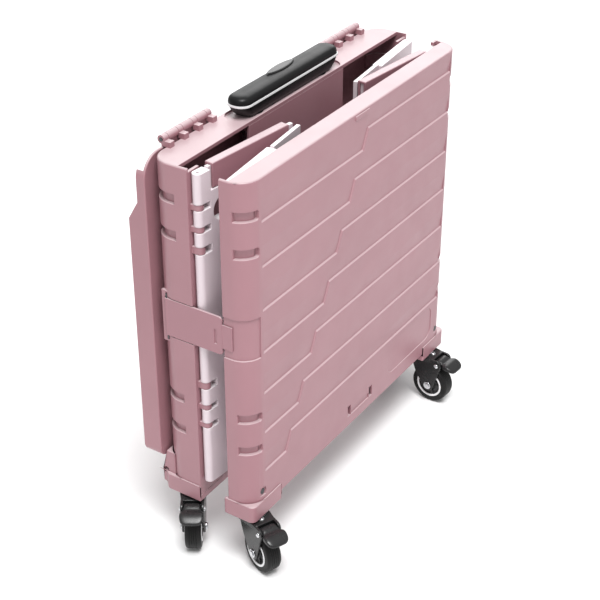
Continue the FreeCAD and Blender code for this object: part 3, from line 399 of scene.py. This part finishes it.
def refined(node, openings=None):
    """The CAD piece with its flat faces joined, its shallow folds kept crisp and its edges broken."""
    shape = welded(NODES[node].data)
    if openings:
        whole = bpy.data.meshes.new(node)
        shape.to_mesh(whole)
        shape.free()
        shape = welded(cut(whole, openings))
    bmesh.ops.dissolve_limit(shape, angle_limit=COPLANAR, verts=shape.verts, edges=shape.edges)
    for edge in shape.edges:
        if len(edge.link_faces) != 2:
            continue
        first, second = edge.link_faces
        fold = first.normal.angle(second.normal, 0.0)
        shallow = fold > SHALLOW_FOLD and broad(first) and broad(second)
        edge.smooth = not (shallow or fold > SHARP_FOLD)
    mesh = from_bmesh(node, shape, Matrix.Identity(4))
    item = piece(f"{node}_moulding", mesh, BODIES[node], SLOTS[node], (node,))
    soften(item, FOOT_EDGE if node.startswith("foot") else MOULD_EDGE)


def dress_cad():
    """Each CAD node that stays gets its slot's material."""
    for name, item in NODES.items():
        item.data.materials.clear()
        item.data.materials.append(MATERIALS[SLOTS[name]])


def mouldings():
    for node in FINE:
        refined(node, front_openings() if node == "front_shell" else None)


def recessed_screws():
    """Screw heads with a raised cross, standing at the bottom of the front wells."""
    radius, cross, blade_width = 3.4, 1.7, 0.4
    shape = bmesh.new()
    for side in (-1, 1):
        middle = Vector((side * SCREW_SIDE, SCREW_HEIGHT))
        prism(shape, hull([(*middle, radius)]), FACE + 2.0, FACE + 3.2, True)
        for turn in (math.radians(45), math.radians(135)):
            reach = Vector((math.cos(turn), math.sin(turn))) * cross
            blade = hull([(*(middle + end * reach), blade_width) for end in (-1, 1)], 8)
            prism(shape, blade, FACE + 1.7, FACE + 2.1, True)
    heads = piece("front_screw_heads", from_bmesh("screw_heads", shape, TO_METRES),
                  BODIES["front_screws"], SLOTS["front_screws"], ("front_screws",))
    soften(heads, 0.15 * MM)


# ---------------------------------------------------------------- grip


GRIP_EDGE = 0.2 * MM

# Sections of the grip's halves: half length, half width, corner radius, height over the underside.
KEEL = ((76, 9.0, 8.4, 0.0), (79, 10.4, 9.6, 0.5), (82, 11.6, 10.6, 2.0), (86.5, 12.7, 11.4, 6.5),
        (90.2, 13.2, 11.8, 11.5), (91.6, 13.3, 12.0, 14.0))
CROWN = ((91.4, 13.1, 12.0, 0.0), (91.6, 13.2, 12.0, 0.6), (91.5, 13.1, 12.0, 2.6),
         (90.9, 12.6, 11.6, 4.6), (89.6, 11.4, 10.6, 6.3), (87.4, 9.4, 8.8, 7.5),
         (84.0, 6.4, 6.0, 8.2), (79.0, 3.0, 2.8, 8.4))


def grip_half(name, sections, node, angle):
    mesh = loft(name, [round_rectangle(*section) for section in sections], standing_on(node))
    soften(piece(name, mesh, "handle_top", "grip_black", (node,)), GRIP_EDGE, angle=angle)


def release_button():
    """A lens-shaped key with a rounded top, set behind the grip's middle line."""
    half, width, steps, setback = 25.0, 6.2, 24, 5.2
    rings = []
    for inset, height in ((0.6, 3.4), (0.0, 4.2), (0.0, 8.6), (0.35, 9.4), (1.2, 9.9), (2.6, 10.1)):
        ring = []
        for step in range(2 * steps):
            turn = math.pi * step / steps
            across = (half - inset) * math.cos(turn)
            bulge = (width - inset) * math.copysign(abs(math.sin(turn)) ** 1.25, math.sin(turn))
            ring.append(Vector((across, bulge, height)))
        rings.append(ring)
    place = standing_on("grip_upper") @ Matrix.Translation((0, setback, 0))
    button = piece("release_button_lens", loft("release_button_lens", rings, place), "button",
                   "button_black", ("release_button",))
    soften(button, GRIP_EDGE, angle=50.0)


def grip():
    """The boat-shaped lower half, the crowned upper half and the release button."""
    grip_half("grip_keel", KEEL, "grip_lower", 28.0)
    grip_half("grip_crown", CROWN, "grip_upper", 50.0)
    release_button()


# ---------------------------------------------------------------- casters

# A caster's own frame: X trails from the stem to the wheel, and Z is up from the foot's underside.
TRAIL, DROP = 22.0, -44.0
PIVOT_X, PIVOT_Z = 33.0, -11.0
LEG_INNER, LEG_OUTER = 10.0, 13.0


def mirrored_profile(half):
    """A lathe profile completed with its mirror image across the wheel's middle plane."""
    return half + [(radius, -across) for radius, across in reversed(half)]


def wheel_pieces(name, place):
    """A tyre with fine grooves, a dished hub with spokes, and a pale ring on each side."""
    tread = [(17.5, -9.0), (22.0, -9.0), (23.5, -8.5), (24.5, -7.3), (24.9, -5.9), (25.0, -4.6)]
    for across in (-3.6, -1.2):
        tread += [(25.0, across - 0.35), (24.5, across - 0.2), (24.5, across + 0.2), (25.0, across + 0.35)]
    shape = bmesh.new()
    lathe(shape, mirrored_profile(tread), (TRAIL, DROP))
    tyre = piece(f"{name}_tread", from_bmesh("tread", shape, place), f"{name}_wheel", "tyre_black",
                 (f"{name}_tyre",))
    soften(tyre, 0.12 * MM, segments=1)

    dish = [(3.1, -9.0), (6.2, -9.0), (7.2, -8.4), (8.0, -6.6), (9.4, -5.6), (12.6, -5.6), (13.9, -6.6),
            (14.5, -8.2), (15.0, -8.7), (17.5, -8.7)]
    shape = bmesh.new()
    lathe(shape, mirrored_profile(dish), (TRAIL, DROP))
    axis, spokes, half_spoke = Vector((TRAIL, DROP)), 5, 7.3
    for spoke in range(spokes):
        turn = math.tau * spoke / spokes
        outward = Vector((math.cos(turn), math.sin(turn)))
        near, far = axis + outward * 7.4, axis + outward * 14.0
        prism(shape, hull([(*near, 1.5), (*far, 1.0)], 16), -half_spoke, half_spoke, True)
    hub = piece(f"{name}_dish", from_bmesh("dish", shape, place), f"{name}_wheel", "hub_grey",
                (f"{name}_hub",))
    soften(hub, 0.25 * MM)

    shape = bmesh.new()
    for side in (-1, 1):
        lathe(shape, [(14.7, side * 8.0), (15.0, side * 9.1), (15.6, side * 9.5), (16.9, side * 9.5),
                      (17.4, side * 9.2), (17.6, side * 8.0)], (TRAIL, DROP))
    ring = piece(f"{name}_wheel_ring", from_bmesh("wheel_ring", shape, place), f"{name}_wheel",
                 "trim_silver")
    soften(ring, 0.15 * MM)


def fork_pieces(name, place):
    """Glossy legs under a domed crown, the pedal hinge's rivets and the axle's hexagon heads."""
    shape = bmesh.new()
    leg = hull([(TRAIL, DROP, 7.6), (13.0, -24.0, 11.0), (1.0, -9.0, 5.4), (PIVOT_X, -10.0, 6.4),
                (PIVOT_X - 4.0, -24.0, 5.0)])
    for low, high in ((LEG_INNER, LEG_OUTER), (-LEG_OUTER, -LEG_INNER)):
        prism(shape, leg, low, high, True)
    crown = hull([(0.0, 0.0, 16.6), (25.0, 9.6, 3.2), (25.0, -9.6, 3.2)])
    prism(shape, crown, -9.3, -3.4, False)
    fork = piece(f"{name}_fork_cast", from_bmesh("fork_cast", shape, place), f"{name}_swivel", "fork_black",
                 (f"{name}_fork",))
    soften(fork, 0.9 * MM, segments=3)

    shape = bmesh.new()
    for side in (-1, 1):
        dome(shape, (PIVOT_X, side * 12.9, PIVOT_Z), 3.0, 1.8, (0, side, 0))
    dome(shape, (20.5, 0.0, -3.5), 3.1, 2.0, (0, 0, 1))
    rivets = piece(f"{name}_rivets", from_bmesh("rivets", shape, place), f"{name}_swivel", "caster_steel")
    soften(rivets, 0.15 * MM)

    shape = bmesh.new()
    prism(shape, hull([(TRAIL, DROP, 3.0)], 32), -LEG_OUTER, LEG_OUTER, True)
    washer, head = (5.0, 32, LEG_OUTER, 14.2), (3.7, 6, 14.1, 15.4)
    for side in (-1, 1):
        for radius, corners, near, far in (washer, head):
            prism(shape, hull([(TRAIL, DROP, radius)], corners), *sorted((side * near, side * far)), True)
    bolt = piece(f"{name}_axle_bolt", from_bmesh("axle_bolt", shape, place), f"{name}_swivel",
                 "caster_steel", (f"{name}_axle",))
    soften(bolt, 0.3 * MM)


# Sections of the pedal: distance along X, half width, top, bottom.
PEDAL = ((27.4, 8.6, -9.6, -12.6), (28.2, 9.4, -7.4, -14.4), (30.5, 9.6, -5.2, -15.0),
         (34.0, 9.6, -4.0, -15.0), (37.5, 9.6, -4.9, -14.4), (40.2, 10.6, -6.9, -13.8),
         (42.4, 12.8, -6.7, -13.4), (45.5, 13.4, -5.6, -13.2), (50.0, 13.4, -6.9, -13.8),
         (54.0, 12.4, -9.2, -14.6), (56.6, 10.2, -11.0, -15.0), (58.0, 6.4, -12.4, -14.8))


def pedal_section(along, half, top, bottom, steps=28, squareness=0.45):
    """A section between an ellipse and a rectangle, standing across X."""
    ring = []
    for step in range(steps):
        turn = math.tau * step / steps
        across, up = (math.copysign(abs(part) ** squareness, part)
                      for part in (math.cos(turn), math.sin(turn)))
        ring.append(Vector((along, half * across, (top + bottom) / 2 + (top - bottom) / 2 * up)))
    return ring


def pedal_piece(name, place):
    """A hump over the hinge, a waist, then a wide tread that droops to a round tip."""
    mesh = loft("pedal_cast", [pedal_section(*section) for section in PEDAL], place)
    pedal = piece(f"{name}_pedal_cast", mesh, f"{name}_brake", "pedal_black",
                  (f"{name}_pedal",))
    smooth = pedal.modifiers.new("rounded", "SUBSURF")
    smooth.levels = smooth.render_levels = 2


def casters():
    """Four sets of wheel, fork and pedal, each turned the way its CAD axle trails."""
    for corner in ("front_left", "front_right", "rear_left", "rear_right"):
        name = f"caster_{corner}"
        stem, axle = middle_of(f"{name}_mount"), middle_of(f"{name}_axle")
        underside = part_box(f"foot_{corner}")[0][2]
        heading = math.atan2(axle.y - stem.y, axle.x - stem.x)
        place = (Matrix.Translation((stem.x, stem.y, underside)) @ Matrix.Rotation(heading, 4, "Z")
                 @ TO_METRES)
        wheel_pieces(name, place)
        fork_pieces(name, place)
        pedal_piece(name, place)


# ---------------------------------------------------------------- studio


def studio():
    """White surroundings, a pale floor, and soft lights above, behind and beside the cart."""
    world = bpy.data.worlds.new("studio")
    world.use_nodes = True
    background = world.node_tree.nodes["Background"]
    background.inputs["Color"].default_value = (1.0, 1.0, 1.0, 1.0)
    background.inputs["Strength"].default_value = 0.45
    bpy.context.scene.world = world
    bpy.context.scene.view_settings.view_transform = "Standard"

    floor_mesh = bpy.data.meshes.new("floor")
    reach = 30.0
    floor_mesh.from_pydata([(-reach, -reach, 0), (reach, -reach, 0), (reach, reach, 0), (-reach, reach, 0)],
                           [], [(0, 1, 2, 3)])
    floor = bpy.data.objects.new("floor", floor_mesh)
    bpy.context.scene.collection.objects.link(floor)
    pale = Shader("floor_pale", 0.9, specular=0.1)
    pale.surface.inputs["Base Color"].default_value = (0.9, 0.9, 0.9, 1.0)
    floor_mesh.materials.append(pale.material)

    for name, place, size, power in (
            ("key_above", (-1.7, -1.7, 5.9), 2.6, 430.0),
            ("sheen_behind", (3.1, 2.0, 2.3), 3.0, 70.0),
            ("side_left", (-2.6, -0.4, 1.3), 2.0, 4.0),
            ("side_front", (0.6, -2.8, 1.4), 2.0, 4.0)):
        light = bpy.data.lights.new(name, "AREA")
        light.shape = "SQUARE"
        light.size = size
        light.energy = power
        lamp = bpy.data.objects.new(name, light)
        lamp.location = place
        lamp.rotation_euler = (Vector((0, 0, 0.25)) - Vector(place)).to_track_quat("-Z", "Y").to_euler()
        bpy.context.scene.collection.objects.link(lamp)


def camera():
    """The camera that sees the cart from its front left, from above."""
    azimuth, elevation, distance = math.radians(-56.954), math.radians(31.542), 1.5876
    back = Vector((math.sin(azimuth) * math.cos(elevation), -math.cos(azimuth) * math.cos(elevation),
                   math.sin(elevation)))
    aim = (LOW + HIGH) / 2 + Vector((-0.0214, 0.0138, -0.0169))
    data = bpy.data.cameras.new("camera")
    data.sensor_width = 36.0
    data.lens = 85.3
    item = bpy.data.objects.new("camera", data)
    item.location = aim + back * distance
    item.rotation_euler = (-back).to_track_quat("-Z", "Y").to_euler()
    bpy.context.scene.collection.objects.link(item)
    bpy.context.scene.camera = item


dress_cad()
mouldings()
recessed_screws()
grip()
casters()
studio()
camera()
